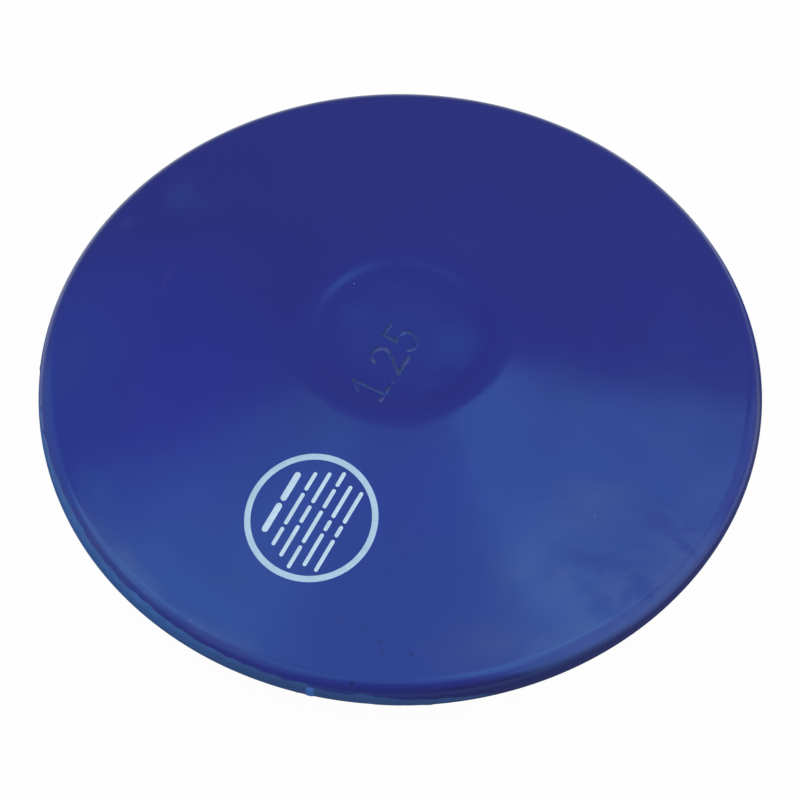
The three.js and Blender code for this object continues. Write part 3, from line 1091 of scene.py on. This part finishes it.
# Lamps round the disc: bearing and elevation in degrees, distance and sides in metres, and radiance
Lamp = namedtuple("Lamp", "name bearing elevation distance width height radiance")
LAMPS = [
    Lamp("softbox_right", 15, 61, 1.1, 0.7, 0.62, 1.2),
    Lamp("softbox_near_right", 322, 59, 1.1, 0.6, 0.55, 1.1),
    Lamp("softbox_low_right", 329, 23, 1.2, 1.3, 0.92, 1.2),
    Lamp("softbox_far_right", 14, 27, 1.2, 0.5, 0.95, 0.55),
    Lamp("softbox_left", 184, 51, 1.1, 0.52, 0.58, 1.6),
    Lamp("softbox_high_left", 169, 66, 1.1, 0.55, 0.5, 0.65),
    Lamp("softbox_low_left", 176, 25, 1.2, 1.3, 0.9, 0.45),
    Lamp("softbox_near_left", 230, 45, 1.1, 0.54, 0.66, 0.55),
    Lamp("softbox_over", 266, 74, 1.0, 0.85, 0.9, 0.75),
]


def stand(name, data, location, target):
    """A camera or a lamp at a place, turned towards a point."""
    thing = bpy.data.objects.new(name, data)
    bpy.context.scene.collection.objects.link(thing)
    thing.location = location
    thing.rotation_euler = (Vector(target) - thing.location).to_track_quat("-Z", "Y").to_euler()
    return thing


def add_camera(studio):
    """The camera at the photograph's angle, on the near side of the disc, in the plane of its axis."""
    data = bpy.data.cameras.new("camera")
    data.sensor_width = studio.sensor
    data.lens = studio.lens
    level = studio.camera_distance * math.cos(studio.camera_elevation)
    height = studio.camera_distance * math.sin(studio.camera_elevation)
    location = (0, -level, PARTING_HEIGHT + height)
    camera = stand("camera", data, location, (0, -studio.camera_aim, PARTING_HEIGHT))
    bpy.context.scene.camera = camera


def add_lamp(lamp):
    """A soft rectangular lamp on a sphere round the disc. Its power is radiance times area times pi."""
    data = bpy.data.lights.new(lamp.name, "AREA")
    data.shape = "RECTANGLE"
    data.size = lamp.width
    data.size_y = lamp.height
    data.energy = lamp.radiance * lamp.width * lamp.height * math.pi
    bearing = math.radians(lamp.bearing)
    elevation = math.radians(lamp.elevation)
    level = lamp.distance * math.cos(elevation)
    height = PARTING_HEIGHT + lamp.distance * math.sin(elevation)
    location = (level * math.cos(bearing), level * math.sin(bearing), height)
    stand(lamp.name, data, location, (0, 0, PARTING_HEIGHT))


def plain_floor(studio):
    """A pale floor. The camera, mirrors and glass see it white, with the disc's shadow on it; the camera sees
    most of it as plain white."""
    material = bpy.data.materials.new("plain_floor")
    material.use_nodes = True
    graph = Graph(material.node_tree)
    rays = graph.node("ShaderNodeLightPath").outputs
    mirrored = graph.calc("MAXIMUM", rays["Is Glossy Ray"], rays["Is Transmission Ray"])
    seen = graph.calc("MAXIMUM", rays["Is Camera Ray"], mirrored)
    pale = graph.mix(seen, (studio.floor_bounce,) * 3, (studio.floor_white,) * 3)
    matt = graph.node("ShaderNodeBsdfDiffuse", {"Color": pale}).outputs["BSDF"]
    plain = graph.node("ShaderNodeEmission", {"Color": (1.0, 1.0, 1.0, 1.0), "Strength": 1.0})
    share = graph.times(rays["Is Camera Ray"], studio.floor_lift)
    shaders = {0: share, 1: matt, 2: plain.outputs["Emission"]}
    mixed = graph.node("ShaderNodeMixShader", shaders).outputs["Shader"]
    graph.node("ShaderNodeOutputMaterial", {"Surface": mixed})
    return material


def add_floor(studio):
    """A flat square grid just under the disc."""
    line = np.linspace(-studio.floor_size / 2, studio.floor_size / 2, FLOOR_CELLS + 1)
    x, y = np.meshgrid(line, line)
    vertices = np.stack([x.ravel(), y.ravel(), np.full(x.size, -FLOOR_GAP)], axis=1)
    row, column = np.meshgrid(np.arange(FLOOR_CELLS), np.arange(FLOOR_CELLS), indexing="ij")
    corner = (row * (FLOOR_CELLS + 1) + column).ravel()
    across = corner + FLOOR_CELLS + 1
    quads = np.stack([corner, corner + 1, across + 1, across], axis=1)
    floor = put_mesh("studio_floor", vertices, [quads], plain_floor(studio))


def set_world(studio):
    """An even, dim room."""
    world = bpy.data.worlds.new("room")
    world.use_nodes = True
    graph = Graph(world.node_tree)
    grey = (*(studio.surroundings,) * 3, 1.0)
    light = graph.node("ShaderNodeBackground", {"Color": grey, "Strength": 1.0}).outputs["Background"]
    graph.node("ShaderNodeOutputWorld", {"Surface": light})
    bpy.context.scene.world = world


# Operators

class DISCUS_OT_mould_halves(bpy.types.Operator):
    """Mould the upper and the lower rubber half"""

    bl_idname = "discus.mould_halves"
    bl_label = "Mould halves"

    def execute(self, context):
        scene = context.scene
        material = moulded_rubber(scene.discus_finishes)
        for node, side in ((UPPER_NODE, 1), (LOWER_NODE, -1)):
            piece = rubber_half(f"moulded_{node}", scene.discus_shape, scene.discus_seam, side, material)
            seat(piece, "moulded_rubber", node)
        return {"FINISHED"}


class DISCUS_OT_stamp_numerals(bpy.types.Operator):
    """Raise the weight numerals on the hub's floor"""

    bl_idname = "discus.stamp_numerals"
    bl_label = "Stamp numerals"

    def execute(self, context):
        scene = context.scene
        vertices, faces = stamp_strokes(scene.discus_marking, scene.discus_shape)
        piece = put_mesh("weight_numerals", vertices, faces, scuffed_rubber(scene.discus_finishes))
        seat(piece, "moulded_rubber")
        return {"FINISHED"}


class DISCUS_OT_print_ring(bpy.types.Operator):
    """Print the pale ring and its rows of bars on the face"""

    bl_idname = "discus.print_ring"
    bl_label = "Print ring"

    def execute(self, context):
        scene = context.scene
        finishes = scene.discus_finishes
        vertices, faces = ring_bead(scene.discus_print, scene.discus_shape)
        ring = put_mesh("ink_ring", vertices, faces, pale_ink("ring_ink", finishes, finishes.ink))
        seat(ring, "pale_ink", RING_NODE)
        vertices, faces = bar_beads(scene.discus_print, scene.discus_shape)
        bars = put_mesh("ink_bars", vertices, faces, pale_ink("bar_ink", finishes, finishes.ink_bars))
        seat(bars, "pale_ink")
        return {"FINISHED"}


class DISCUS_OT_finish_core(bpy.types.Operator):
    """Give the packed steel core its finish"""

    bl_idname = "discus.finish_core"
    bl_label = "Finish core"

    def execute(self, context):
        core = frame["nodes"][CORE_NODE]
        core.data.materials.clear()
        core.data.materials.append(punched_steel(context.scene.discus_finishes))
        return {"FINISHED"}


class DISCUS_OT_set_stage(bpy.types.Operator):
    """Set the floor, the room, the lamps and the camera"""

    bl_idname = "discus.set_stage"
    bl_label = "Set stage"

    def execute(self, context):
        studio = context.scene.discus_studio
        context.scene.view_settings.view_transform = "Standard"
        add_camera(studio)
        add_floor(studio)
        set_world(studio)
        for lamp in LAMPS:
            add_lamp(lamp)
        return {"FINISHED"}


OPERATORS = (
    DISCUS_OT_set_stage,
    DISCUS_OT_mould_halves,
    DISCUS_OT_stamp_numerals,
    DISCUS_OT_print_ring,
    DISCUS_OT_finish_core,
)


class DISCUS_PT_sidebar(bpy.types.Panel):
    """Lists the discus's steps and their sizes."""

    bl_idname = "DISCUS_PT_sidebar"
    bl_label = "Discus"
    bl_space_type = "VIEW_3D"
    bl_region_type = "UI"
    bl_category = "Discus"

    def draw(self, context):
        for operator in OPERATORS:
            self.layout.operator(operator.bl_idname)
        for group_name, group in GROUPS.items():
            box = self.layout.box()
            box.label(text=group.__doc__)
            for name in group.__annotations__:
                box.prop(getattr(context.scene, group_name), name)


CLASSES = (*GROUPS.values(), *OPERATORS, DISCUS_PT_sidebar)


def register():
    for item in CLASSES:
        bpy.utils.register_class(item)
    for name, group in GROUPS.items():
        setattr(bpy.types.Scene, name, PointerProperty(type=group))


def unregister():
    for name in GROUPS:
        delattr(bpy.types.Scene, name)
    for item in reversed(CLASSES):
        bpy.utils.unregister_class(item)


def main():
    register()
    bpy.ops.discus.set_stage()
    bpy.ops.discus.mould_halves()
    bpy.ops.discus.stamp_numerals()
    bpy.ops.discus.print_ring()
    bpy.ops.discus.finish_core()


if __name__ == "__main__":
    main()
